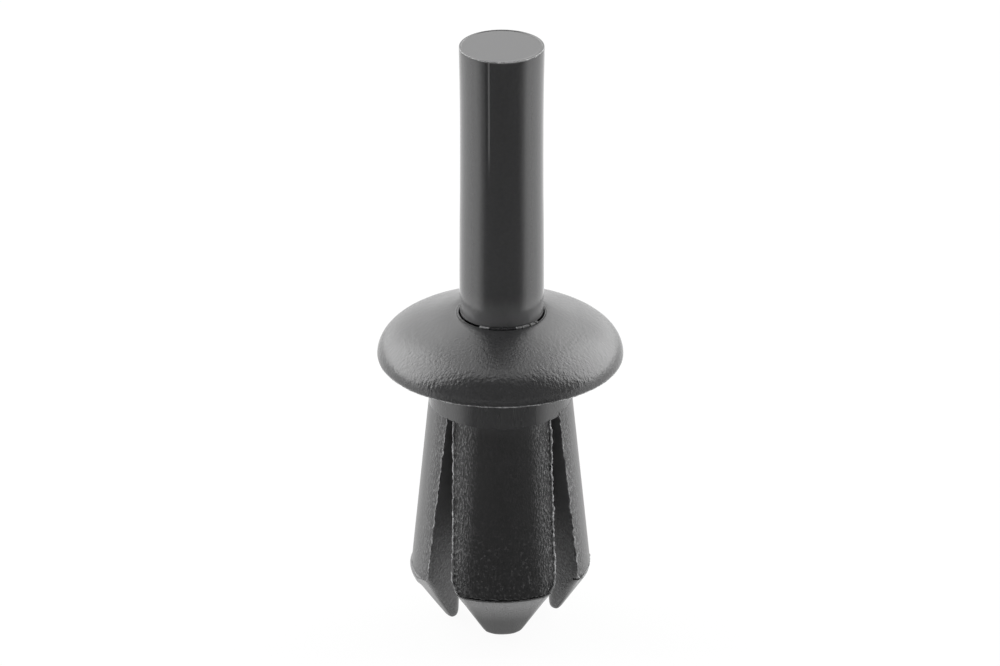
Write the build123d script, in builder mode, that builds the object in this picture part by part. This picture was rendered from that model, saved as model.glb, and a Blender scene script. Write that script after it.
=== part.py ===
from build123d import *
import os
from math import cos, hypot, radians, sin, tan

os.makedirs("parts", exist_ok=True)

# Push rivet for a round panel hole: a body with four slotted, splayed legs under a domed
# head, and a drive pin that break-away webs hold over the bore until it is hammered in.
# Millimetres. The leg tips stand on Z = 0, and body and pin share the Z axis.

# Collar and legs
panel_hole = 8.0  # diameter of the hole that the rivet is made for
collar_play = 0.14  # radial room between the collar and that hole
collar_depth = 2.65  # plain ring under the head, above the slots
reach = 15.7  # from the underside of the head down to the leg tips
leg_count = 4
leg_splay = 5.55  # degrees that each leg leans outwards as moulded
nose_angle = 34.0  # degrees between the tapered nose and the axis
tip_radius = 0.27  # rounding at the lower end of each leg

# Slots between the legs
slot_top_width = 0.62
slot_flare = 3.9  # degrees that each side of a slot opens on the way down
leg_corner_radius = 0.45  # rounding where a leg's slot faces meet the bore

# Head
head_diameter = 13.2
head_height = 2.6  # from the underside to the brink of the bore
brink_slope = 16.5  # degrees that the dome falls away at the bore
shoulder_slope = 24.0  # degrees that it falls where the shoulder starts
shoulder_inset = 1.5  # from the rim in to the start of the shoulder
shoulder_pull = 0.97  # how far the shoulder follows the dome
rim_pull = 0.75  # how far it follows the upright rim

# Bore and drive pin
pin_diameter = 4.48  # at both ends
pin_waist = 0.055  # how much slimmer the pin is at its waist, on the radius
waist_share = 0.7  # height of the waist, as a share of the pin's length
pin_length = 15.4
pin_engagement = 0.1  # how deep the pin's end stands in the mouth of the bore
bore_play = 0.18  # radial room round the pin
mouth_chamfer = 0.2

# Break-away webs round the end of the pin
web_play = 0.05  # radial gap that is left between a parted web and the pin
web_thickness = 0.15
web_root = 0.2  # how far a web is carried into the wall of the bore
web_spans = [(-118, -60), (-48, -24), (40, 105)]  # degrees about Z, start and end

# Sizes that follow from those above
collar_radius = panel_hole / 2 - collar_play
head_radius = head_diameter / 2
pin_radius = pin_diameter / 2
bore_radius = pin_radius + bore_play
slot_top = reach - collar_depth
mouth_height = reach + head_height
pin_base = mouth_height - pin_engagement
web_reach = bore_play - web_play + web_root

# Nose and bore would meet in a point below the tip, and the tip radius lifts it to Z = 0
apex_height = tip_radius - tip_radius / tan(radians(nose_angle / 2))
# The leg is widest where its leaning outer face meets the nose
leg_lean = tan(radians(leg_splay))
nose_lean = tan(radians(nose_angle))
root_gap = collar_radius + slot_top * leg_lean - bore_radius
nose_height = (root_gap + apex_height * nose_lean) / (nose_lean + leg_lean)
widest_radius = collar_radius + (slot_top - nose_height) * leg_lean
slot_foot_width = slot_top_width + 2 * slot_top * tan(radians(slot_flare))

# The dome is one arc between its two slopes
dome_reach = head_radius - shoulder_inset
dome_radius = (dome_reach - bore_radius) / (sin(radians(shoulder_slope)) - sin(radians(brink_slope)))
dome_direction = (cos(radians(brink_slope)), -sin(radians(brink_slope)))

with BuildPart() as rivet_body:
    # Half section of head, collar, leg and nose, turned about the axis
    with BuildSketch(Plane.XZ) as half_section:
        with BuildLine():
            dome = JernArc(
                start=(bore_radius, mouth_height),
                tangent=dome_direction,
                radius=dome_radius,
                arc_size=brink_slope - shoulder_slope,
            )
            shoulder = Bezier(
                dome @ 1,
                dome @ 1 + (dome % 1) * shoulder_pull,
                (head_radius, reach + rim_pull),
                (head_radius, reach),
            )
            Polyline(
                shoulder @ 1,
                (collar_radius, reach),
                (collar_radius, slot_top),
                (widest_radius, nose_height),
                (bore_radius, apex_height),
                dome @ 0,
            )
        make_face()
        fillet(half_section.vertices().sort_by(Axis.Y)[0], radius=tip_radius)
        chamfer(half_section.vertices().sort_by(Axis.Y)[-1], length=mouth_chamfer)
    revolve(axis=Axis.Z)

    # The moulding core parts the legs: a round pin with fins that widen towards the tips
    for height, slot_width in ((slot_top, slot_top_width), (0, slot_foot_width)):
        with BuildSketch(Plane.XY.offset(height)) as core_section:
            Circle(bore_radius)
            for leg in range(leg_count):
                bearing = (leg + 0.5) * 360 / leg_count
                with Locations(Location((0, 0, 0), (0, 0, bearing))):
                    Rectangle(head_radius, slot_width, align=(Align.MIN, Align.CENTER))
            fin_roots = core_section.vertices().filter_by(
                lambda corner: hypot(corner.X, corner.Y) < bore_radius + 0.001
            )
            fillet(fin_roots, radius=leg_corner_radius)
    loft(ruled=True, mode=Mode.SUBTRACT)

    # What is left of the break-away webs: thin sectors that reach in to the pin's end
    for start, end in web_spans:
        outwards = Vector(cos(radians(start)), sin(radians(start)), 0)
        along_web = Vector(-sin(radians(start)), cos(radians(start)), 0)
        with BuildSketch(Plane((0, 0, pin_base), x_dir=outwards, z_dir=-along_web)):
            with Locations((pin_radius + web_play, 0)):
                Rectangle(web_reach, web_thickness, align=(Align.MIN, Align.MAX))
        revolve(axis=Axis.Z, revolution_arc=start - end)
rivet_body.part.label = "rivet_body"
export_step(rivet_body.part, "parts/rivet_body.step")

with BuildPart() as drive_pin:
    with BuildSketch(Plane.XZ):
        with BuildLine():
            side = Spline(
                (pin_radius, pin_base),
                (pin_radius - pin_waist, pin_base + pin_length * waist_share),
                (pin_radius, pin_base + pin_length),
            )
            Polyline(side @ 1, (0, pin_base + pin_length), (0, pin_base), side @ 0)
        make_face()
    revolve(axis=Axis.Z)
drive_pin.part.label = "drive_pin"
export_step(drive_pin.part, "parts/drive_pin.step")
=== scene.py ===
from math import atan2, cos, degrees, hypot, pi, radians, sin, tan

import bmesh
import bpy
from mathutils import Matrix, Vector


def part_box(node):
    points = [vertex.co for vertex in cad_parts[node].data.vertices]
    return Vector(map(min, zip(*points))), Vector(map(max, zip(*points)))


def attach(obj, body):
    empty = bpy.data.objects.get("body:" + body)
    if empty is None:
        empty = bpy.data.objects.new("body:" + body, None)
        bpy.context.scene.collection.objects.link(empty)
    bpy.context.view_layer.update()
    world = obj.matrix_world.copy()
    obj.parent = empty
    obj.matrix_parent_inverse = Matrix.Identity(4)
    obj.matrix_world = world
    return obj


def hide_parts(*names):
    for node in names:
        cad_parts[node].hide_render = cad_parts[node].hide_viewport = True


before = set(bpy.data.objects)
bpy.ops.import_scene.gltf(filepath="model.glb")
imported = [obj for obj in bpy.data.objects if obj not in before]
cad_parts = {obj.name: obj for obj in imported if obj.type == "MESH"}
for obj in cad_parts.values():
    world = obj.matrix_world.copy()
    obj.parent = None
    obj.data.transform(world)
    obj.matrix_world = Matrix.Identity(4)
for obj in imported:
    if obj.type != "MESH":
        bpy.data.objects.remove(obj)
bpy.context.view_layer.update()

# Pieces are modelled large, one Blender unit to a millimetre, and brought down when finished
mm = 0.001
pinLow, pinHigh = [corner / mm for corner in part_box("drive_pin")]


def clearSelection():
    if bpy.context.mode != "OBJECT":
        bpy.ops.object.mode_set(mode="OBJECT")
    bpy.ops.object.select_all(action="DESELECT")


def selectPieces(*pieces):
    clearSelection()
    for piece in pieces:
        piece.select_set(True)
    bpy.context.view_layer.objects.active = pieces[0]


def joinPieces(pieces):
    selectPieces(*pieces)
    bpy.ops.object.join()
    return pieces[0]


def settle():
    bpy.ops.object.transform_apply(location=True, rotation=True, scale=True)


def openMesh(piece):
    selectPieces(piece)
    bpy.ops.object.mode_set(mode="EDIT")


def closeMesh():
    bpy.ops.object.mode_set(mode="OBJECT")


def selectAll():
    bpy.ops.mesh.select_all(action="SELECT")


def pickVerts(piece, test):
    bpy.ops.mesh.select_mode(type="VERT")
    bpy.ops.mesh.select_all(action="DESELECT")
    mesh = bmesh.from_edit_mesh(piece.data)
    for vert in mesh.verts:
        vert.select_set(test(vert.co))
    mesh.select_flush_mode()
    bmesh.update_edit_mesh(piece.data)


def pickEdges(piece, test):
    bpy.ops.mesh.select_mode(type="EDGE")
    bpy.ops.mesh.select_all(action="DESELECT")
    mesh = bmesh.from_edit_mesh(piece.data)
    for edge in mesh.edges:
        edge.select_set(test(edge.verts[0].co, edge.verts[1].co))
    bmesh.update_edit_mesh(piece.data)


def pickFaces(piece, test):
    bpy.ops.mesh.select_mode(type="FACE")
    bpy.ops.mesh.select_all(action="DESELECT")
    mesh = bmesh.from_edit_mesh(piece.data)
    mesh.normal_update()
    for face in mesh.faces:
        face.select_set(test(face.calc_center_median(), face.normal))
    bmesh.update_edit_mesh(piece.data)


def traceOutline(name, points):
    # A plane shrunk to one corner, which is then extruded from point to point
    clearSelection()
    bpy.ops.mesh.primitive_plane_add(size=0.1, location=(0, 0, 0))
    piece = bpy.context.object
    piece.name = name
    bpy.ops.object.mode_set(mode="EDIT")
    bpy.ops.mesh.select_mode(type="VERT")
    selectAll()
    bpy.ops.mesh.merge(type="CENTER")
    bpy.ops.transform.translate(value=points[0])
    for here, there in zip(points, points[1:]):
        step = [b - a for a, b in zip(here, there)]
        bpy.ops.mesh.extrude_region_move(TRANSFORM_OT_translate={"value": step})
    selectAll()
    return piece


def bridgeOutlines(name, lower, upper):
    pieces = []
    for points in (lower, upper):
        pieces.append(traceOutline(name, points + points[:1]))
        bpy.ops.mesh.remove_doubles(threshold=0.0001)
    piece = joinPieces(pieces)
    openMesh(piece)
    selectAll()
    bpy.ops.mesh.bridge_edge_loops()
    selectAll()
    bpy.ops.mesh.fill_holes(sides=0)
    tidyMesh(0.0001)
    closeMesh()
    return piece


def tidyMesh(weld=0.0005):
    selectAll()
    bpy.ops.mesh.remove_doubles(threshold=weld)
    bpy.ops.mesh.normals_make_consistent(inside=False)


def applyModifier(piece, kind, **values):
    selectPieces(piece)
    modifier = piece.modifiers.new(kind.title(), kind)
    for key, value in values.items():
        setattr(modifier, key, value)
    bpy.ops.object.modifier_apply(modifier=modifier.name)


def cutWith(piece, cutter):
    applyModifier(piece, "BOOLEAN", operation="DIFFERENCE", object=cutter, solver="EXACT")
    bpy.data.objects.remove(cutter)


def finishPiece(piece, name, material, body, node=None, smoothAngle=30):
    selectPieces(piece)
    settle()
    piece.scale = (mm, mm, mm)
    bpy.ops.object.transform_apply(location=False, rotation=False, scale=True)
    bpy.ops.object.shade_smooth_by_angle(angle=radians(smoothAngle))
    piece.name = name
    piece.data.name = name
    if material:
        piece.data.materials.clear()
        piece.data.materials.append(material)
    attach(piece, body)
    if node:
        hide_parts(node)
    print("made", name, len(piece.data.polygons), "faces")
    return piece


def giveFaces(piece, material, test):
    piece.data.materials.append(material)
    openMesh(piece)
    pickFaces(piece, test)
    piece.active_material_index = len(piece.data.materials) - 1
    bpy.ops.object.material_slot_assign()
    closeMesh()


def polar(radius, bearing, height=0.0):
    return Vector((radius * cos(radians(bearing)), radius * sin(radians(bearing)), height))


def bearingOf(point):
    return degrees(atan2(point.y, point.x))


def offBearing(point, bearing):
    return abs((bearingOf(point) - bearing + 180) % 360 - 180)


# Materials. In their dictionaries a noise is how fine, how detailed and how rough, and a ramp is
# from, to, and the values it gives there. Heights and radii are in millimetres

class Graph:
    def __init__(self, owner, clear=False):
        owner.use_nodes = True
        self.owner = owner
        self.nodes, self.links = owner.node_tree.nodes, owner.node_tree.links
        if clear:
            self.nodes.clear()

    def feed(self, socket, value):
        if isinstance(value, bpy.types.NodeSocket):
            self.links.new(value, socket)
        else:
            socket.default_value = value

    def add(self, kind, *values, **named):
        node = self.nodes.new("ShaderNode" + kind)
        for index, value in enumerate(values):
            self.feed(node.inputs[index], value)
        for key, value in named.items():
            self.feed(node.inputs[key], value)
        return node

    def shade(self, kind, *values, **named):
        return self.add(kind, *values, **named).outputs[0]

    def math(self, operation, *values, clamp=False):
        node = self.add("Math")
        node.operation = operation
        node.use_clamp = clamp
        for index, value in enumerate(values):
            self.feed(node.inputs[index], value)
        return node.outputs[0]

    def ramp(self, value, start, end, first=0.0, last=1.0, soft=True):
        node = self.add("MapRange", value, start, end, first, last)
        node.interpolation_type = "SMOOTHSTEP" if soft else "LINEAR"
        return node.outputs["Result"]

    def scaled(self, vector, scale):
        node = self.add("Mapping", vector)
        node.inputs["Scale"].default_value = (scale, scale, scale)
        return node.outputs["Vector"]

    def noise(self, vector, scale, detail, rough):
        vector = self.scaled(vector, scale)
        node = self.add("TexNoise", Vector=vector, Scale=1.0, Detail=detail, Roughness=rough)
        return node.outputs["Fac"]

    def place(self):
        return self.scaled(self.add("TexCoord").outputs["Object"], 1 / mm)

    def split(self, vector):
        return self.add("SeparateXYZ", vector).outputs

    def around(self, place, perTurn, perHeight, outwards=False):
        # A pattern space that wraps round the axis: perTurn sets how fine, perHeight how long
        x, y, z = self.split(place)
        squares = [self.math("MULTIPLY", side, side) for side in (x, y)]
        reach = self.math("SQRT", self.math("ADD", *squares))
        turn = self.math("DIVIDE", perTurn, self.math("MAXIMUM", reach, 0.2))
        along = self.math("MULTIPLY", reach if outwards else z, perHeight)
        wrapped = [self.math("MULTIPLY", side, turn) for side in (x, y)]
        joined = self.shade("CombineXYZ", *wrapped, along)
        return joined, reach, self.math("ARCTAN2", y, x), z

    def bump(self, height, depth, under=None):
        node = self.add("Bump", Strength=1.0, Distance=depth * mm, Height=height)
        if under is not None:
            self.links.new(under, node.inputs["Normal"])
        return node.outputs["Normal"]

    def mix(self, share, low, high):
        node = self.nodes.new("ShaderNodeMix")
        node.data_type = "RGBA"
        self.feed(node.inputs["Factor"], share)
        for socket, colour in ((node.inputs[6], low), (node.inputs[7], high)):
            self.feed(socket, (*colour, 1) if isinstance(colour, tuple) else colour)
        return node.outputs[2]

    def surface(self, colour, rough, ior, normal=None):
        inputs = self.nodes["Principled BSDF"].inputs
        self.feed(inputs["Base Color"], colour)
        self.feed(inputs["Roughness"], rough)
        self.feed(inputs["IOR"], ior)
        if normal is not None:
            self.feed(inputs["Normal"], normal)
        return self.owner


headBlack = {
    "dark": (0.026, 0.026, 0.027),
    "light": (0.034, 0.034, 0.035),
    "ior": 1.72,
    "patches": (0.55, 2.0, 0.5),
    "rough": (0.3, 0.7, 0.21, 0.27),
    "streaksRound": 56,
    "streaksOut": 5.5,
    "streaks": (1.0, 1.5, 0.5),
    "streakGrowth": (2.6, 4.6, 0.35, 1.0),  # over the radius
    "streakDepth": 0.013,
    "grain": (5.5, 2.0, 0.55),
    "grainGrowth": (4.9, 5.8, 0.5, 1.0),
    "grainDepth": 0.027,
}


def makeHeadBlack():
    v = headBlack
    graph = Graph(bpy.data.materials.new("head_black"))
    place = graph.place()
    wrapped, reach, bearing, height = graph.around(place, v["streaksRound"], v["streaksOut"], True)
    grain = graph.noise(place, *v["grain"])
    grit = graph.math("MULTIPLY", grain, graph.ramp(reach, *v["grainGrowth"]))
    streaks = graph.noise(wrapped, *v["streaks"])
    streaks = graph.math("MULTIPLY", streaks, graph.ramp(reach, *v["streakGrowth"]))
    normal = graph.bump(streaks, v["streakDepth"], graph.bump(grit, v["grainDepth"]))
    colour = graph.mix(grain, v["dark"], v["light"])
    rough = graph.ramp(graph.noise(place, *v["patches"]), *v["rough"])
    return graph.surface(colour, rough, v["ior"], normal)


erodedBlack = {
    "dark": (0.017, 0.017, 0.0175),
    "light": (0.14, 0.14, 0.142),
    "rough": 0.34,
    "ior": 1.72,
    "grain": (6.5, 3.0, 0.6),
    "grainDepth": 0.012,
    "flecksRound": 54,
    "flecksUp": 5.0,
    "flecks": (1.0, 2.0, 0.6),
    # the pale strokes near the edges are painted highlights
    "glintPaintTone": (0.51, 0.62),
    "fleckDepth": 0.1,
    "nearEdge": (17, 34, 0.06, 1.0),  # degrees from the middle of a leg
    "specks": (7.0, 1.0, 0.5),
    "speckTone": (0.54, 0.78),
    "speckDepth": 0.025,
    "speckHeight": (8.5, 4.6),
    "speckLeast": 0.105,
    "speckMore": 0.315,  # added low down
    "collarBlend": (12.3, 13.0, 0.0, 0.08),  # the face pales towards the collar
}


def makeErodedBlack():
    v = erodedBlack
    graph = Graph(bpy.data.materials.new("eroded_black"))
    place = graph.place()
    wrapped, reach, bearing, height = graph.around(place, v["flecksRound"], v["flecksUp"])
    # 0 in the middle of each leg, 45 at the slots
    quarter = graph.math("FRACT", graph.math("MULTIPLY_ADD", bearing, 2 / pi, 4.5))
    folded = graph.math("ABSOLUTE", graph.math("SUBTRACT", quarter, 0.5))
    nearEdge = graph.ramp(graph.math("MULTIPLY", folded, 90), *v["nearEdge"])
    strokes = graph.noise(wrapped, *v["flecks"])
    # Painted highlights: near the slot edges the strokes are also painted pale, standing in for
    # glints of side light off the eroded relief
    flecks = graph.math("MULTIPLY", graph.ramp(strokes, *v["glintPaintTone"]), nearEdge)
    low = graph.ramp(height, *v["speckHeight"])
    share = graph.math("MULTIPLY_ADD", low, v["speckMore"], v["speckLeast"])
    specks = graph.ramp(graph.noise(place, *v["specks"]), *v["speckTone"])
    specks = graph.math("MULTIPLY", specks, share)
    normal = graph.bump(graph.noise(place, *v["grain"]), v["grainDepth"])
    normal = graph.bump(specks, v["speckDepth"], normal)
    normal = graph.bump(graph.math("MULTIPLY", strokes, nearEdge), v["fleckDepth"], normal)
    pale = graph.math("MAXIMUM", specks, graph.ramp(height, *v["collarBlend"]))
    pale = graph.math("MAXIMUM", flecks, pale, clamp=True)
    colour = graph.mix(pale, v["dark"], v["light"])
    return graph.surface(colour, v["rough"], v["ior"], normal)


# The bore finish is paler than the moulded plastic: painted light that lifts the shade in the bore,
# on the slot walls and in the gap under the pin. Its grain and mottle are the surface's own
boreBlack = {
    "dark": (0.053, 0.053, 0.054),
    "light": (0.11, 0.11, 0.112),
    "rough": 0.36,
    "ior": 1.6,
    "grain": (7.0, 2.0, 0.55),
    "grainDepth": 0.022,
    "mottle": (0.42, 0.66),
    "lively": (8.5, 5.0),  # nearly plain above, mottled below
    "plainTone": 0.28,
    "plainDepth": 0.3,
}


def makeBoreBlack():
    v = boreBlack
    graph = Graph(bpy.data.materials.new("bore_black"))
    place = graph.place()
    height = graph.split(place)["Z"]
    grain = graph.noise(place, *v["grain"])
    low = graph.ramp(height, *v["lively"])
    depth = graph.math("MULTIPLY_ADD", low, 1 - v["plainDepth"], v["plainDepth"])
    normal = graph.bump(graph.math("MULTIPLY", grain, depth), v["grainDepth"])
    mottle = graph.math("SUBTRACT", graph.ramp(grain, *v["mottle"]), v["plainTone"])
    mottle = graph.math("MULTIPLY_ADD", mottle, low, v["plainTone"])
    colour = graph.mix(mottle, v["dark"], v["light"])
    return graph.surface(colour, v["rough"], v["ior"], normal)


# Painted shade: a near-black finish laid in the groove under each eroded face, where the groove's
# shade falls
paintedGrooveShade = {
    "dark": (0.006, 0.006, 0.006),
    "light": (0.02, 0.02, 0.02),
    "rough": 0.85,
    "ior": 1.3,
    "shadeMottle": (5.0, 2.0, 0.5),
    "shadeMottleTone": (0.5, 0.7),
}


def makePaintedGrooveShade():
    v = paintedGrooveShade
    graph = Graph(bpy.data.materials.new("groove_painted_shade"))
    shadeMottle = graph.ramp(graph.noise(graph.place(), *v["shadeMottle"]), *v["shadeMottleTone"])
    return graph.surface(graph.mix(shadeMottle, v["dark"], v["light"]), v["rough"], v["ior"])


mouldedBlack = {
    "dark": (0.033, 0.033, 0.034),
    "light": (0.042, 0.042, 0.043),
    "rough": (0.35, 0.65, 0.2, 0.3),
    "ripplesRound": 9,
    "ripplesUp": 0.35,
    "ripples": (1.0, 1.0, 0.4),
    "rippleDepth": 0.008,
    "grain": (9.0, 2.0, 0.5),
    "grainDepth": 0.003,
    # noses are painted pale towards their upper edge, a painted highlight, and painted dark towards
    # the tip, a painted shade where the tip also reflects less
    "pale": (0.095, 0.095, 0.097),
    "noseLightHeight": (2.0, 2.75),
    "noseTop": 4.0,
    "deep": (0.006, 0.006, 0.006),
    "deepHeight": (2.5, 1.0),
    "ior": (0.0, 1.0, 1.72, 1.45),
}


def makeMouldedBlack():
    v = mouldedBlack
    graph = Graph(bpy.data.materials.new("moulded_black"))
    place = graph.place()
    wrapped, reach, bearing, height = graph.around(place, v["ripplesRound"], v["ripplesUp"])
    ripples = graph.noise(wrapped, *v["ripples"])
    grain = graph.noise(place, *v["grain"])
    normal = graph.bump(ripples, v["rippleDepth"], graph.bump(grain, v["grainDepth"]))
    # Painted highlight along the top of each nose, painted shade towards its tip
    onNose = graph.math("LESS_THAN", height, v["noseTop"])
    upper = graph.math("MULTIPLY", graph.ramp(height, *v["noseLightHeight"]), onNose)
    tip = graph.ramp(height, *v["deepHeight"])
    colour = graph.mix(upper, graph.mix(grain, v["dark"], v["light"]), v["pale"])
    colour = graph.mix(tip, colour, v["deep"])
    rough, ior = graph.ramp(ripples, *v["rough"]), graph.ramp(tip, *v["ior"])
    return graph.surface(colour, rough, ior, normal)


pinBlack = {
    "dark": (0.033, 0.033, 0.034),
    "paintedPale": (0.115, 0.115, 0.117),
    # painted light: the pin's foot is painted paler towards the head, lifting the darker reflection
    # and shade the head gives it
    "paintedPaleHeight": (20.2, 18.2),  # paler towards the head
    "paintedPaleGrain": 0.1,
    "rough": (0.35, 0.65, 0.13, 0.17),
    "ior": 1.8,
    "grain": (6.0, 2.0, 0.5),
    "grainDepth": 0.0012,
    "wavesRound": 3.2,
    "wavesUp": 0.09,
    "waves": (1.0, 2.0, 0.5),
    "waveDepth": 0.012,
    "side": (2.05, 2.15),  # waves and line keep off the ends
    # a faint line drawn down the front of the upper half
    "lineBearing": -110,
    "lineWidth": 3.6,
    "lineHeight": (25.5, 29.0, 0.0, -1.0),
    "lineDepth": 0.024,
}


def makePinBlack():
    v = pinBlack
    graph = Graph(bpy.data.materials.new("pin_black"))
    place = graph.place()
    wrapped, reach, bearing, height = graph.around(place, v["wavesRound"], v["wavesUp"])
    side = graph.ramp(reach, *v["side"])
    waves = graph.math("MULTIPLY", graph.noise(wrapped, *v["waves"]), side)
    grain = graph.noise(place, *v["grain"])
    away = graph.math("ABSOLUTE", graph.math("SUBTRACT", bearing, radians(v["lineBearing"])))
    line = graph.ramp(away, radians(v["lineWidth"]), 0.0)
    line = graph.math("MULTIPLY", line, graph.ramp(height, *v["lineHeight"]))
    line = graph.math("MULTIPLY", line, side)
    normal = graph.bump(grain, v["grainDepth"])
    normal = graph.bump(waves, v["waveDepth"], normal)
    normal = graph.bump(line, v["lineDepth"], normal)
    # Painted light on the pin's foot, where the head darkens its reflection and shades it
    paintedPaleShare = graph.ramp(height, *v["paintedPaleHeight"])
    paintedPaleShare = graph.math("MULTIPLY_ADD", grain, v["paintedPaleGrain"], paintedPaleShare, clamp=True)
    colour = graph.mix(paintedPaleShare, v["dark"], v["paintedPale"])
    return graph.surface(colour, graph.ramp(waves, *v["rough"]), v["ior"], normal)


# Mould flash is pale partly as torn, stress-whitened plastic and partly as painted highlights for
# the side light its thin ridges catch
flashBlack = {
    "dark": (0.15, 0.15, 0.152),
    "light": (0.38, 0.38, 0.385),
    "rough": 0.42,
    "ior": 1.72,
    "tearAndSheen": (4.0, 3.0, 0.6),
    "tearAndSheenTone": (0.38, 0.62),
    "tornDepth": 0.02,
}


def makeFlashBlack():
    v = flashBlack
    graph = Graph(bpy.data.materials.new("flash_black"))
    tearAndSheen = graph.ramp(graph.noise(graph.place(), *v["tearAndSheen"]), *v["tearAndSheenTone"])
    colour = graph.mix(tearAndSheen, v["dark"], v["light"])
    return graph.surface(colour, v["rough"], v["ior"], graph.bump(tearAndSheen, v["tornDepth"]))


headFinish = makeHeadBlack()
eroded = makeErodedBlack()
grooveShadePaint = makePaintedGrooveShade()
boreFinishAndPaintedLight = makeBoreBlack()
moulded = makeMouldedBlack()
pinFinish = makePinBlack()
flashWhiteningAndSheen = makeFlashBlack()
print("materials ready")

pin = {
    "sides": 192,
    # (height above the floor, radius)
    "rings": [
        (19.4, 2.256), (20.59, 2.253), (22.36, 2.244), (23.76, 2.234), (25.26, 2.214),
        (27.2, 2.206), (29.07, 2.203), (30.47, 2.209), (31.6, 2.223), (32.72, 2.244),
        (33.35, 2.252),
    ],
    "top": 33.52,
    "endRound": 0.035,
    "endRoundSteps": 3,
    "lip": 0.07,  # a thin raised edge round each end
    "lipHeight": 0.02,
    "lipSlope": 0.02,
    "endRing": 0.35,  # share of the radius
    "shift": 0.075,  # the pin stands a little to the right of the axis
    "near": 0.001,
}


def makePin():
    v = pin
    clearSelection()
    radius, low, high = pinHigh.x, pinLow.z, v["top"]
    bpy.ops.mesh.primitive_cylinder_add(
        vertices=v["sides"], radius=radius, depth=high - low, location=(0, 0, (low + high) / 2)
    )
    piece = bpy.context.object
    settle()
    openMesh(piece)
    for height, ringRadius in v["rings"]:
        selectAll()
        bpy.ops.mesh.bisect(plane_co=(0, 0, height), plane_no=(0, 0, 1))
    for height, ringRadius in v["rings"]:
        pickVerts(piece, lambda co: abs(co.z - height) < v["near"])
        share = ringRadius / radius
        bpy.ops.transform.resize(value=(share, share, 1), center_override=(0, 0, 0))
    for end, sink in ((low, v["lipHeight"]), (high, -v["lipHeight"])):
        atEnd = lambda co: abs(co.z - end) < v["near"]
        pickEdges(piece, lambda a, b: atEnd(a) and atEnd(b))
        bpy.ops.mesh.bevel(offset=v["endRound"], segments=v["endRoundSteps"])
        pickFaces(piece, lambda co, normal: hypot(co.x, co.y) < 0.01 and atEnd(co))
        bpy.ops.mesh.inset(thickness=v["lip"])
        bpy.ops.mesh.inset(thickness=v["lipSlope"])
        bpy.ops.transform.translate(value=(0, 0, sink))
        bpy.ops.mesh.inset(thickness=radius * v["endRing"])
    selectAll()
    bpy.ops.transform.translate(value=(v["shift"], 0, 0))
    closeMesh()
    return finishPiece(piece, "drive_pin_turned", pinFinish, "pin", "drive_pin")


makePin()

rimHeight = 15.7  # underside of the head above the floor
slotTop = 13.05
head = {
    "steps": 96,
    # (radius, height above the underside), from the mouth of the bore out to the rim
    "dome": [
        (2.36, 2.41), (2.4, 2.48), (2.5, 2.505), (2.64, 2.5), (2.916, 2.435), (3.41, 2.29),
        (3.904, 2.118), (4.393, 1.937), (4.876, 1.765), (5.354, 1.556), (5.70, 1.362),
        (5.96, 1.187), (6.17, 1.0), (6.35, 0.795), (6.49, 0.54), (6.575, 0.28), (6.6, 0.05),
    ],
    # and in again to the collar
    "underside": [(6.585, 0), (6.5, 0), (3.95, 0), (3.86, -0.06), (3.86, -0.3)],
    # (radius, height above the slots), down the collar and in to the bore
    "collar": [(3.86, 0.3), (3.86, 0.006), (3.86, 0), (3.854, 0), (2.44, 0), (2.42, 0.05)],
    # (radius, height above the underside), up the bore
    "bore": [(2.42, 2.1), (2.42, 2.38)],
    "mouthShift": 0.05,  # the bore's mouth is a little off centre
    "mouthReach": 2.6,
    "boreReach": 2.45,
    "boreFacing": 0.35,
}


def makeHead():
    v = head
    outline = [(r, rimHeight + h) for r, h in v["dome"] + v["underside"]]
    outline += [(r, slotTop + h) for r, h in v["collar"]]
    outline += [(r, rimHeight + h) for r, h in v["bore"]]
    piece = traceOutline("head", [(r, 0, z) for r, z in outline + outline[:1]])
    bpy.ops.mesh.spin(steps=v["steps"], angle=2 * pi, center=(0, 0, 0), axis=(0, 0, 1))
    tidyMesh()
    share = 3 / (2 + cos(2 * pi / v["steps"]))  # what the smoothing takes off the radius
    bpy.ops.transform.resize(value=(share, share, 1), center_override=(0, 0, 0))
    pickVerts(piece, lambda co: hypot(co.x, co.y) < v["mouthReach"] and co.z > rimHeight)
    bpy.ops.transform.translate(value=(v["mouthShift"], 0, 0))
    closeMesh()
    applyModifier(piece, "SUBSURF", levels=1, render_levels=1)
    piece.data.materials.append(headFinish)
    giveFaces(piece, moulded, lambda co, normal: co.z < rimHeight - 0.03)
    # The bore is painted paler, lifting its shade
    giveFaces(piece, boreFinishAndPaintedLight, lambda co, normal: hypot(co.x, co.y) < v["boreReach"]
              and co.z > rimHeight + 1 and normal.z < v["boreFacing"])
    return finishPiece(piece, "head_and_collar", None, "body", "rivet_body", 50)


makeHead()

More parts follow.
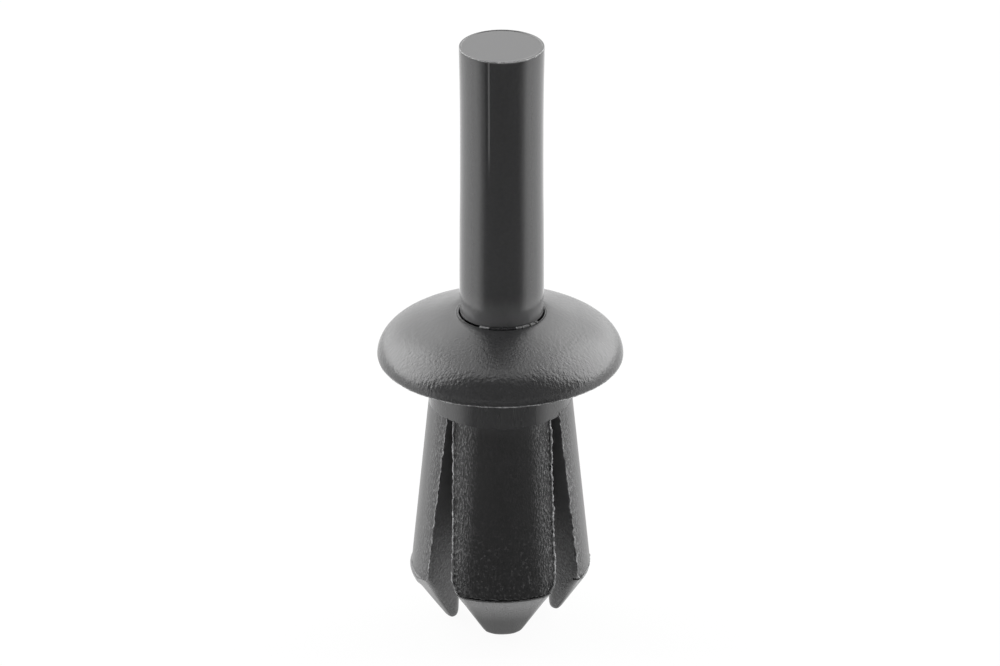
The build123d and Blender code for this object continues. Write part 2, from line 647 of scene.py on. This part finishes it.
# Slot walls lie so far to either side of a line through the axis: at the slot's top and at the
# floor
slots = {
    "rightFront": {"bearing": -43.65, "top": 0.36, "foot": 1.13},
    "rightBack": {"bearing": 45.0, "top": 0.31, "foot": 1.2},
    "leftBack": {"bearing": 135.0, "top": 0.31, "foot": 1.2},
    "leftFront": {"bearing": -136.25, "top": 0.245, "foot": 1.2},
}
legs = {
    "front": {"bearing": -90, "between": ("leftFront", "rightFront"), "root": 3.86, "lean": 5.6,
              "noseLine": 3.13, "noseAngle": 33.2, "bore": 2.17,
              "cornerCut": 1.0, "tipSideRound": 0.85},
    "right": {"bearing": 0, "between": ("rightFront", "rightBack"), "root": 3.9, "lean": 5.75,
              "noseLine": 3.07, "noseAngle": 33.0, "bore": 2.7,
              "cornerCut": 0.35, "tipSideRound": 0.35},
    "back": {"bearing": 90, "between": ("rightBack", "leftBack"), "root": 3.86, "lean": 5.6,
             "noseLine": 3.05, "noseAngle": 33.5, "bore": 2.35,
             "cornerCut": 0.7, "tipSideRound": 0.6},
    "left": {"bearing": 180, "between": ("leftBack", "leftFront"), "root": 3.86, "lean": 5.6,
             "noseLine": 2.85, "noseAngle": 34.0, "bore": 2.31,
             "cornerCut": 0.35, "tipSideRound": 0.35,
             # under the eroded face it bulges instead: outwards, height
             "lip": [(0.09, 3.17), (0.1, 3.05), (0.03, 2.82), (-0.08, 2.62), (-0.27, 2.45)]},
}
legShape = {
    "rootInset": 0.012,
    "rootRise": 0.25,  # how far the legs run up into the collar
    "rootDrop": 0.03,
    "innermost": 0.9,
    "tipRound": 0.4,
    "tipSteps": 12,
    "tipAllowance": 0.025,  # what the smoothing takes off the tip
    "faceEnd": 3.28,  # the eroded faces stop here, over a groove
    "groove": 0.13,
    # up the slot edge, down the nose, along the nose line
    "cornerCuts": [(0.95, 0.3, 0.2), (0.4, 0.75, 0.26)],
    "edgeRound": 0.25,
    "steps": 64,
    "sweep": 104,  # degrees, more than the slots leave of it
    "innerRound": (0.3, 0.8),  # at the slot's top and at the floor
    "roundCuts": 6,
    "cornerPoints": 8,
    "borePoints": 26,
    "coreReach": 0.6,  # the core's cross-section runs on so far past each slot wall
    "coreLow": -0.5,
    "coreRise": 0.3,
    "pinSides": 96,
    "pinRoom": 2.295,
    "pinStop": 2.8,
    "voxel": 0.05,
    "allSmooth": 3,
    "noseSmooth": 40,
    "noseSmoothFrom": 0.3,  # below the nose line
    "noseShares": [(0.35, 0.0), (1.0, 0.195)],  # how strongly, from how far under that
    "skin": 0.05,
    "faceLap": 0.03,
    "wallFacing": 0.35,
    "grooveReach": 0.4,
}


def arcPoints(centre, radius, start, end, count):
    points = []
    for index in range(count + 1):
        angle = radians(start + (end - start) * index / count)
        points.append((centre[0] + radius * cos(angle), centre[1] + radius * sin(angle)))
    return points


def legOutline(leg):
    v = legShape
    lean, nose = tan(radians(leg["lean"])), tan(radians(leg["noseAngle"]))
    line, r, groove, end = leg["noseLine"], v["tipRound"], v["groove"], v["faceEnd"]
    root, high = leg["root"] - v["rootInset"], slotTop + v["rootRise"]
    widest = leg["root"] + (slotTop - end) * lean
    # The tip's arc touches the nose cone and the upright inner face
    apex = line - (widest - leg["bore"]) / nose - v["tipAllowance"]
    centre = (leg["bore"] + r, apex + r / tan(radians(leg["noseAngle"] / 2)))
    leg["tipHeight"] = centre[1] - r
    leg["widest"] = widest
    outline = [(root, high), (root, slotTop - v["rootDrop"]), (widest, end)]
    if "lip" in leg:
        outline += [(widest + out, height) for out, height in leg["lip"]]
    else:
        outline += [
            (widest - groove, end - 0.02),
            (widest - groove - 0.01, min(line + 0.05, end - 0.1)),
            (widest - 0.02, min(line, end - 0.16)),
            (widest - 0.01, line),
        ]
    outline += arcPoints(centre, r, -leg["noseAngle"], -180, v["tipSteps"])
    outline += [(v["innermost"], centre[1] + 0.1), (v["innermost"], high)]
    return [(across, 0, height) for across, height in outline]


def wallOffset(slot, height):
    return slot["top"] + (slot["foot"] - slot["top"]) * (slotTop - height) / slotTop


def slotDirections(slot, side):
    b = radians(slot["bearing"])
    return Vector((cos(b), sin(b), 0)), Vector((-sin(b), cos(b), 0)) * side


def cutAway(origin, normal):
    selectAll()
    bpy.ops.mesh.bisect(plane_co=origin, plane_no=normal, use_fill=True, clear_outer=True)


def slotEdge(leg, slot, side, height):
    # Where a slot wall meets the outer face of the leg
    out, across = slotDirections(slot, side)
    lean = tan(radians(leg["lean"]))
    radius = leg["root"] + (slotTop - height) * lean
    offset = wallOffset(slot, height)
    return out * (radius ** 2 - offset ** 2) ** 0.5 + across * offset + Vector((0, 0, height))


def turnBetween(start, end):
    return (end - start + pi) % (2 * pi) - pi


def cornerArc(leg, slot, side, height):
    # Rounded corner between a slot wall and the bore, from the wall to the bore
    v = legShape
    out, across = slotDirections(slot, side)
    above, below = v["innerRound"]
    r, offset = below + (above - below) * height / slotTop, wallOffset(slot, height)
    reach = ((leg["bore"] + r) ** 2 - (offset + r) ** 2) ** 0.5
    centre = out * reach + across * (offset + r)
    start = atan2(-across.y, -across.x)
    turn = turnBetween(start, atan2(-centre.y, -centre.x))
    points = []
    for index in range(v["cornerPoints"] + 1):
        angle = start + turn * index / v["cornerPoints"]
        points.append((centre.x + r * cos(angle), centre.y + r * sin(angle), height))
    return points, -across


def coreOutline(leg, height):
    # Cross-section of the moulding core beside one leg
    v = legShape
    first, firstOut = cornerArc(leg, slots[leg["between"][0]], 1, height)
    last, lastOut = cornerArc(leg, slots[leg["between"][1]], -1, height)
    start = atan2(first[-1][1], first[-1][0])
    turn = turnBetween(start, atan2(last[-1][1], last[-1][0]))
    bore = []
    for index in range(1, v["borePoints"]):
        angle = start + turn * index / v["borePoints"]
        bore.append((leg["bore"] * cos(angle), leg["bore"] * sin(angle), height))
    entry, leave = [
        (corner[0] + out.x * v["coreReach"], corner[1] + out.y * v["coreReach"], height)
        for corner, out in ((first[0], firstOut), (last[0], lastOut))
    ]
    return [(0, 0, height), entry] + first + bore + last[::-1] + [leave]


def cutSide(leg, slot, side):
    v = legShape
    across = slotDirections(slot, side)[1]
    flare = (slot["foot"] - slot["top"]) / slotTop
    wall = (-across - Vector((0, 0, 1)) * flare).normalized()
    cutAway(across * slot["top"] + Vector((0, 0, slotTop)), wall)
    # The tip's side corner is rounded by cuts that touch one arc
    r = leg["tipSideRound"]
    foot = wallOffset(slot, leg["tipHeight"] + r)
    centre = across * (foot + r) + Vector((0, 0, leg["tipHeight"] + r))
    for index in range(v["roundCuts"]):
        angle = radians(90 * (index + 0.5) / v["roundCuts"])
        tangent = -across * cos(angle) - Vector((0, 0, 1)) * sin(angle)
        cutAway(centre + tangent * r, tangent)
    # And so is the edge between the wall and the nose cone
    corner = slotEdge(leg, slot, side, v["faceEnd"])
    a = radians(leg["noseAngle"])
    cone = Vector((corner.x, corner.y, 0)).normalized() * cos(a) - Vector((0, 0, sin(a)))
    middle = (wall + cone).normalized()
    centre = corner - middle * v["edgeRound"] / cos(wall.angle(cone) / 2)
    for index in range(v["roundCuts"]):
        tangent = wall.slerp(cone, (index + 0.5) / v["roundCuts"])
        cutAway(centre + tangent * v["edgeRound"], tangent)
    # The corner where the slot edge meets the nose line
    inside = polar(1, bearingOf(corner) + 90 * side)
    up = (slotEdge(leg, slot, side, v["faceEnd"] + 1) - corner).normalized()
    down = wall.cross(cone).normalized()
    down = down if down.z < 0 else -down
    for cuts in v["cornerCuts"]:
        a, b, c = [cut * leg["cornerCut"] for cut in cuts]
        first, second, third = corner + up * a, corner + down * b, corner + inside * c
        facet = (second - first).cross(third - first).normalized()
        if facet.dot(corner - first) < 0:
            facet = -facet
        cutAway(first, facet)


def makeLeg(name, leg):
    v = legShape
    piece = traceOutline(name, legOutline(leg))
    bpy.ops.mesh.edge_face_add()
    # Rotate and spin both turn clockwise here
    bpy.ops.transform.rotate(value=radians(-(leg["bearing"] + v["sweep"] / 2)), orient_axis="Z",
                             center_override=(0, 0, 0))
    bpy.ops.mesh.spin(steps=v["steps"], angle=radians(v["sweep"]), center=(0, 0, 0), axis=(0, 0, 1))
    tidyMesh()
    for slotName, side in zip(leg["between"], (1, -1)):
        cutSide(leg, slots[slotName], side)
    tidyMesh()
    closeMesh()
    low, high = coreOutline(leg, v["coreLow"]), coreOutline(leg, slotTop + v["coreRise"])
    cutWith(piece, bridgeOutlines("core", low, high))
    if leg["bore"] < v["pinRoom"]:
        # Room for the driven pin, down to a ledge in the nose
        clearSelection()
        bpy.ops.mesh.primitive_cylinder_add(
            vertices=v["pinSides"], radius=v["pinRoom"], depth=slotTop,
            location=(pin["shift"], 0, v["pinStop"] + slotTop / 2),
        )
        cutWith(piece, bpy.context.object)
    # An even fine mesh, then the polished nose is softened all over
    applyModifier(piece, "REMESH", mode="VOXEL", voxel_size=v["voxel"])
    applyModifier(piece, "SMOOTH", factor=0.5, iterations=v["allSmooth"])
    piece.vertex_groups.new(name="nose")
    top = leg["noseLine"] - v["noseSmoothFrom"]
    openMesh(piece)
    for share, under in v["noseShares"]:
        pickVerts(piece, lambda co: co.z < top - under)
        bpy.context.tool_settings.vertex_group_weight = share
        bpy.ops.object.vertex_group_assign()
    closeMesh()
    applyModifier(piece, "SMOOTH", factor=0.5, iterations=v["noseSmooth"], vertex_group="nose")
    # Only the outer face above the nose is spark eroded
    lean = tan(radians(leg["lean"]))
    line, end = leg["noseLine"], v["faceEnd"] - v["faceLap"]
    reach = lambda co: hypot(co.x, co.y)
    outer = lambda co: reach(co) > leg["root"] + (slotTop - co.z) * lean - v["skin"]
    wallSide = lambda co, normal: normal.dot(polar(1, bearingOf(co))) < v["wallFacing"]
    piece.data.materials.append(moulded)
    # Slot walls are painted paler, lifting their shade
    giveFaces(piece, boreFinishAndPaintedLight, wallSide)
    giveFaces(piece, eroded, lambda co, normal: co.z > end and outer(co))
    # The groove under the eroded face gets the painted shade
    if "lip" not in leg:
        low = max(line, v["faceEnd"] - 0.2) + 0.02
        giveFaces(piece, grooveShadePaint, lambda co, normal: low < co.z < end
                  and reach(co) > leg["widest"] - v["grooveReach"])
    return finishPiece(piece, "leg_" + name, None, "body", "rivet_body", 60)


for legName, leg in legs.items():
    makeLeg(legName, leg)

# Thin flash where the mould parts met
flash = {
    "radius": {"front": 0.05, "right": 0.03, "back": 0.042, "left": 0.03},
    "sides": 8,
    "rings": 240,
    "proud": 0.02,
    "overlap": 0.02,
    "noiseSize": 0.3,
    "waver": 0.16,
    "fineSize": 0.09,
    "fineWaver": 0.06,
    # the line follows the rounded corner: from how far up, how far in, in how many steps
    "cornerReach": 0.85,
    "cornerIn": 0.3,
    "cornerSteps": 8,
}


def raggedNoise(name, size):
    texture = bpy.data.textures.new(name, "CLOUDS")
    texture.noise_scale = size
    texture.noise_depth = 1
    return texture


waves = raggedNoise("waves", flash["noiseSize"])
crumbs = raggedNoise("crumbs", flash["fineSize"])


def waver(piece, texture, strength, direction):
    applyModifier(piece, "DISPLACE", texture=texture, strength=strength, direction=direction)


def makeFlashLine(name, leg, slot, side):
    v = flash
    high = slotEdge(leg, slot, side, slotTop + v["overlap"])
    low = slotEdge(leg, slot, side, legShape["faceEnd"] + v["overlap"])
    high += polar(v["proud"], bearingOf(high))
    low += polar(v["proud"], bearingOf(low))
    run = high - low
    clearSelection()
    bpy.ops.mesh.primitive_cylinder_add(
        vertices=v["sides"], radius=v["radius"][name], depth=run.length
    )
    piece = bpy.context.object
    openMesh(piece)
    pickEdges(piece, lambda a, b: abs(a.z - b.z) > run.length / 2)
    bpy.ops.mesh.subdivide(number_cuts=v["rings"])
    closeMesh()
    piece.location = (high + low) / 2
    piece.rotation_euler = run.to_track_quat("Z", "Y").to_euler()
    settle()
    # Bend its foot round the leg's corner
    inside = polar(1, bearingOf(low) + 90 * side)
    reach, steps = v["cornerReach"] * leg["cornerCut"], v["cornerSteps"]
    openMesh(piece)
    for index in range(steps):
        height = low.z + reach * (1 - index / steps)
        pickVerts(piece, lambda co: co.z < height)
        share = leg["cornerCut"] * (2 * index + 1) / steps ** 2
        bpy.ops.transform.translate(value=inside * v["cornerIn"] * share)
    closeMesh()
    for direction in ("X", "Y"):
        waver(piece, waves, v["waver"], direction)
        waver(piece, crumbs, v["fineWaver"], direction)
    waver(piece, crumbs, v["fineWaver"], "NORMAL")
    return piece


def makeSlotFlash():
    lines = []
    for legName, leg in legs.items():
        for slotName, side in zip(leg["between"], (1, -1)):
            lines.append(makeFlashLine(legName, leg, slots[slotName], side))
    piece = joinPieces(lines)
    return finishPiece(piece, "slot_flash", flashWhiteningAndSheen, "body", smoothAngle=60)


makeSlotFlash()

noseFlash = {
    "radius": 0.024,
    "steps": 420,
    "sides": 6,
    "set": 0.012,
    "above": 0.01,
    "endGap": 3.5,  # degrees at a full corner
    "waver": 0.12,
    "fineWaver": 0.08,
}


def makeNoseFlash():
    # A thin burr under the eroded face, along each leg
    v = noseFlash
    lines = []
    for leg in legs.values():
        clearSelection()
        bpy.ops.mesh.primitive_torus_add(
            major_radius=leg["widest"] - v["set"], minor_radius=v["radius"],
            major_segments=v["steps"], minor_segments=v["sides"],
            location=(0, 0, legShape["faceEnd"] + v["above"]),
        )
        line = bpy.context.object
        settle()
        ends = []
        for slotName, side in zip(leg["between"], (1, -1)):
            edge = slotEdge(leg, slots[slotName], side, legShape["faceEnd"])
            ends.append(offBearing(edge, leg["bearing"]))
        half = min(ends) - v["endGap"] * leg["cornerCut"]
        openMesh(line)
        pickFaces(line, lambda co, normal: offBearing(co, leg["bearing"]) > half)
        bpy.ops.mesh.delete(type="FACE")
        selectAll()
        bpy.ops.mesh.fill_holes(sides=0)
        tidyMesh(0.0001)
        closeMesh()
        waver(line, waves, v["waver"], "Z")
        waver(line, crumbs, v["fineWaver"], "NORMAL")
        lines.append(line)
    piece = joinPieces(lines)
    return finishPiece(piece, "nose_flash", eroded, "body", smoothAngle=60)


makeNoseFlash()

rimFlash = {"radius": 0.035, "steps": 480, "sides": 6, "reach": 6.545, "height": 15.68,
            "shift": 0.0, "waver": 0.05, "fineWaver": 0.03}
# The pin's runs round its front only
pinFlash = {"radius": 0.028, "steps": 240, "sides": 6, "reach": 2.232, "height": 33.49,
            "shift": 0.075, "waver": 0.03, "fineWaver": 0.03, "frontOf": -0.2}


def makeRingFlash(name, v, body):
    clearSelection()
    bpy.ops.mesh.primitive_torus_add(
        major_radius=v["reach"], minor_radius=v["radius"], major_segments=v["steps"],
        minor_segments=v["sides"], location=(v["shift"], 0, v["height"]),
    )
    piece = bpy.context.object
    settle()
    if "frontOf" in v:
        openMesh(piece)
        cutAway((0, v["frontOf"], 0), (0, 1, 0))
        closeMesh()
    waver(piece, waves, v["waver"], "Z")
    waver(piece, crumbs, v["fineWaver"], "NORMAL")
    return finishPiece(piece, name, flashWhiteningAndSheen, body, smoothAngle=60)


makeRingFlash("rim_flash", rimFlash, "body")
makeRingFlash("pin_flash", pinFlash, "pin")

webs = {
    "steps": 360,
    "outer": 2.44,
    "thickness": 0.06,
    "jitter": 0.01,
    "seed": 4,
    "shift": 0.075,
    # each: height, inner radius, then where it runs, degrees about the axis
    "smooth": (18.24, 2.285, [(-108, -75), (40, 100)]),
    "frayed": (18.24, 2.3, [(-122, -109), (-74, -66), (-65, -55), (-53, -46), (-43, -40)]),
    "root": (18.12, 2.31, [(-180, 180)]),
}


def makeWebs(name, finish):
    v = webs
    height, inner, spans = v[name]
    clearSelection()
    bpy.ops.mesh.primitive_circle_add(
        vertices=v["steps"], radius=v["outer"], location=(0, 0, height)
    )
    piece = bpy.context.object
    settle()
    openMesh(piece)
    bpy.ops.mesh.select_mode(type="VERT")
    selectAll()
    bpy.ops.mesh.extrude_region_move()
    share = inner / v["outer"]
    bpy.ops.transform.resize(value=(share, share, 1), center_override=(0, 0, 0))
    bpy.ops.transform.vertex_random(offset=v["jitter"], seed=v["seed"])
    pickFaces(piece, lambda co, normal: not any(a < bearingOf(co) < b for a, b in spans))
    bpy.ops.mesh.delete(type="FACE")
    closeMesh()
    applyModifier(piece, "SOLIDIFY", thickness=v["thickness"], offset=0)
    openMesh(piece)
    selectAll()
    bpy.ops.transform.translate(value=(v["shift"], 0, 0))
    tidyMesh(0.0001)
    closeMesh()
    return finishPiece(piece, name + "_webs", finish, "body", smoothAngle=40)


makeWebs("smooth", moulded)
# The frayed webs' pale flash finish is also painted light, lifting the shade in the trench round
# the pin
makeWebs("frayed", flashWhiteningAndSheen)
# The root ring is painted paler, lifting the shade in the gap under the pin
makeWebs("root", boreFinishAndPaintedLight)

floor = {
    "size": 4.0,
    "colour": (0.8, 0.8, 0.8, 1),
    "cameraColour": (0.05, 0.05, 0.05, 1),
    "cameraGlow": 0.945,
    "glossyGlow": 1.13,
}


def makeFloor():
    # Grey for the light it scatters, nearly white to the camera and in reflections
    v = floor
    clearSelection()
    bpy.ops.mesh.primitive_plane_add(size=v["size"], location=(0, 0, 0))
    plane = bpy.context.object
    plane.name = "floor"
    graph = Graph(bpy.data.materials.new("pale_floor"), clear=True)
    plain = graph.shade("BsdfDiffuse", Color=v["colour"])
    seen = graph.shade("BsdfDiffuse", Color=v["cameraColour"])
    toCamera = graph.shade("AddShader", seen, graph.shade("Emission", Strength=v["cameraGlow"]))
    mirrored = graph.shade("AddShader", seen, graph.shade("Emission", Strength=v["glossyGlow"]))
    path = graph.add("LightPath").outputs
    mix = graph.shade("MixShader", path["Is Glossy Ray"], plain, mirrored)
    mix = graph.shade("MixShader", path["Is Camera Ray"], mix, toCamera)
    graph.add("OutputMaterial", Surface=mix)
    plane.data.materials.append(graph.owner)


makeFloor()

# Seen only in reflections, it darkens the front of the pin and of the legs
card = {
    "sides": 64,
    "near": 0.004,
    "far": 0.25,
    "lift": 0.0004,
    # its grey at these distances in metres
    "greys": [(0.0, 0.10), (0.026, 0.11), (0.042, 0.17), (0.066, 0.08), (0.25, 0.08)],
    # how it fades: outwards in metres, and round from the front in degrees
    "fadeIn": (0.0045, 0.008),
    "fadeRound": (43, 78),
}


def makeDarkCard():
    v = card
    clearSelection()
    bpy.ops.mesh.primitive_circle_add(vertices=v["sides"], radius=v["far"], fill_type="NGON",
                                      location=(0, 0, v["lift"]))
    plane = bpy.context.object
    plane.name = "dark_card"
    openMesh(plane)
    selectAll()
    bpy.ops.mesh.bisect(plane_co=(0, -v["near"], 0), plane_no=(0, 1, 0), clear_outer=True,
                        use_fill=False)
    closeMesh()
    graph = Graph(bpy.data.materials.new("dark_card"), clear=True)
    where = graph.add("TexCoord").outputs["Object"]
    x, y = graph.split(where)[:2]
    length = graph.nodes.new("ShaderNodeVectorMath")
    length.operation = "LENGTH"
    graph.links.new(where, length.inputs[0])
    away = length.outputs["Value"]
    turn = graph.math("ARCTAN2", graph.math("ABSOLUTE", x), graph.math("MULTIPLY", y, -1.0))
    start, end = [radians(a) for a in v["fadeRound"]]
    cover = graph.ramp(turn, start, end, 1.0, 0.0)
    cover = graph.math("MULTIPLY", cover, graph.ramp(away, *v["fadeIn"]))
    greys = graph.add("ValToRGB", graph.math("DIVIDE", away, v["far"]))
    stops = greys.color_ramp.elements
    while len(stops) < len(v["greys"]):
        stops.new(0.5)
    for stop, (reach, grey) in zip(stops, v["greys"]):
        stop.position = reach / v["far"]
        stop.color = (grey, grey, grey, 1)
    glow = graph.shade("Emission", greys.outputs["Color"])
    mix = graph.shade("MixShader", cover, graph.shade("BsdfTransparent"), glow)
    graph.add("OutputMaterial", Surface=mix)
    plane.data.materials.append(graph.owner)
    plane.visible_camera = False
    plane.visible_diffuse = False
    plane.visible_shadow = False
    plane.visible_transmission = False


makeDarkCard()

studio = {
    "dark": 0.12,
    "bright": 1.2,
    "edge": -0.25,
    "edgeByHeight": 0.28,
    "softness": 0.14,
    # brighter low down
    "low": 2.4,
    "lowHeight": (0.88, 0.6),
    # and a little darker straight behind
    "behind": 0.6,
    "behindAcross": (0.5, 0.15),
    "behindHeight": (0.75, 0.5),
}


def makeStudio():
    v = studio
    world = bpy.data.worlds.new("soft_studio")
    bpy.context.scene.world = world
    graph = Graph(world, clear=True)
    x, y, z = graph.split(graph.add("TexCoord").outputs["Generated"])
    edge = graph.math("MULTIPLY_ADD", z, -v["edgeByHeight"], -v["edge"])
    past = graph.math("ADD", y, edge)
    level = graph.ramp(past, -v["softness"], v["softness"], v["dark"], v["bright"])
    lift = graph.ramp(z, *v["lowHeight"], 1.0, v["low"] / v["bright"])
    level = graph.math("MULTIPLY", level, lift)
    notch = graph.math("MULTIPLY", graph.ramp(graph.math("ABSOLUTE", x), *v["behindAcross"]),
                       graph.ramp(z, *v["behindHeight"]))
    notch = graph.ramp(notch, 0.0, 1.0, 1.0, v["behind"], soft=False)
    level = graph.math("MULTIPLY", level, notch)
    tent = graph.shade("Background", (1, 1, 1, 1), level)
    white = graph.shade("Background", (1, 1, 1, 1), 1.0)
    path = graph.add("LightPath").outputs
    graph.add("OutputWorld", graph.shade("MixShader", path["Is Camera Ray"], tent, white))


makeStudio()

softboxes = {
    "radiance": 1.5,
    "distance": 0.4,
    "elevation": 36,
    "fromBehind": 70,
    "width": 0.5,
    "height": 0.46,
}


def makeSoftboxes():
    v = softboxes
    area = pi * v["width"] * v["height"] / 4
    for side, name in ((-1, "softbox_left"), (1, "softbox_right")):
        data = bpy.data.lights.new("softbox", "AREA")
        data.shape = "ELLIPSE"
        data.size, data.size_y = v["width"], v["height"]
        data.energy = v["radiance"] * pi * area
        lamp = bpy.data.objects.new(name, data)
        bpy.context.scene.collection.objects.link(lamp)
        e, a = radians(v["elevation"]), radians(v["fromBehind"])
        towards = Vector((side * sin(a) * cos(e), cos(a) * cos(e), sin(e)))
        lamp.location = towards * v["distance"]
        lamp.rotation_euler = towards.to_track_quat("Z", "Y").to_euler()


makeSoftboxes()

camera = {
    "distance": 0.3209,
    "elevation": 25.5,
    "turn": 2.65,
    "aimHeight": 0.016882,
    "aimRight": -0.000016,
    "lens": 216.0,
    "sensor": 36.0,
}


def makeCamera():
    v = camera
    e, t = radians(v["elevation"]), radians(v["turn"])
    back = Vector((-sin(t) * cos(e), -cos(t) * cos(e), sin(e)))
    right = Vector((cos(t), -sin(t), 0))
    aim = Vector((0, 0, v["aimHeight"])) + right * v["aimRight"]
    data = bpy.data.cameras.new("camera")
    data.lens = v["lens"]
    data.sensor_width = v["sensor"]
    data.clip_start, data.clip_end = 0.01, 10
    cam = bpy.data.objects.new("camera", data)
    bpy.context.scene.collection.objects.link(cam)
    cam.location = aim + back * v["distance"]
    cam.rotation_euler = (-back).to_track_quat("-Z", "Y").to_euler()
    bpy.context.scene.camera = cam


makeCamera()
bpy.context.scene.view_settings.view_transform = "Standard"
print("studio ready")
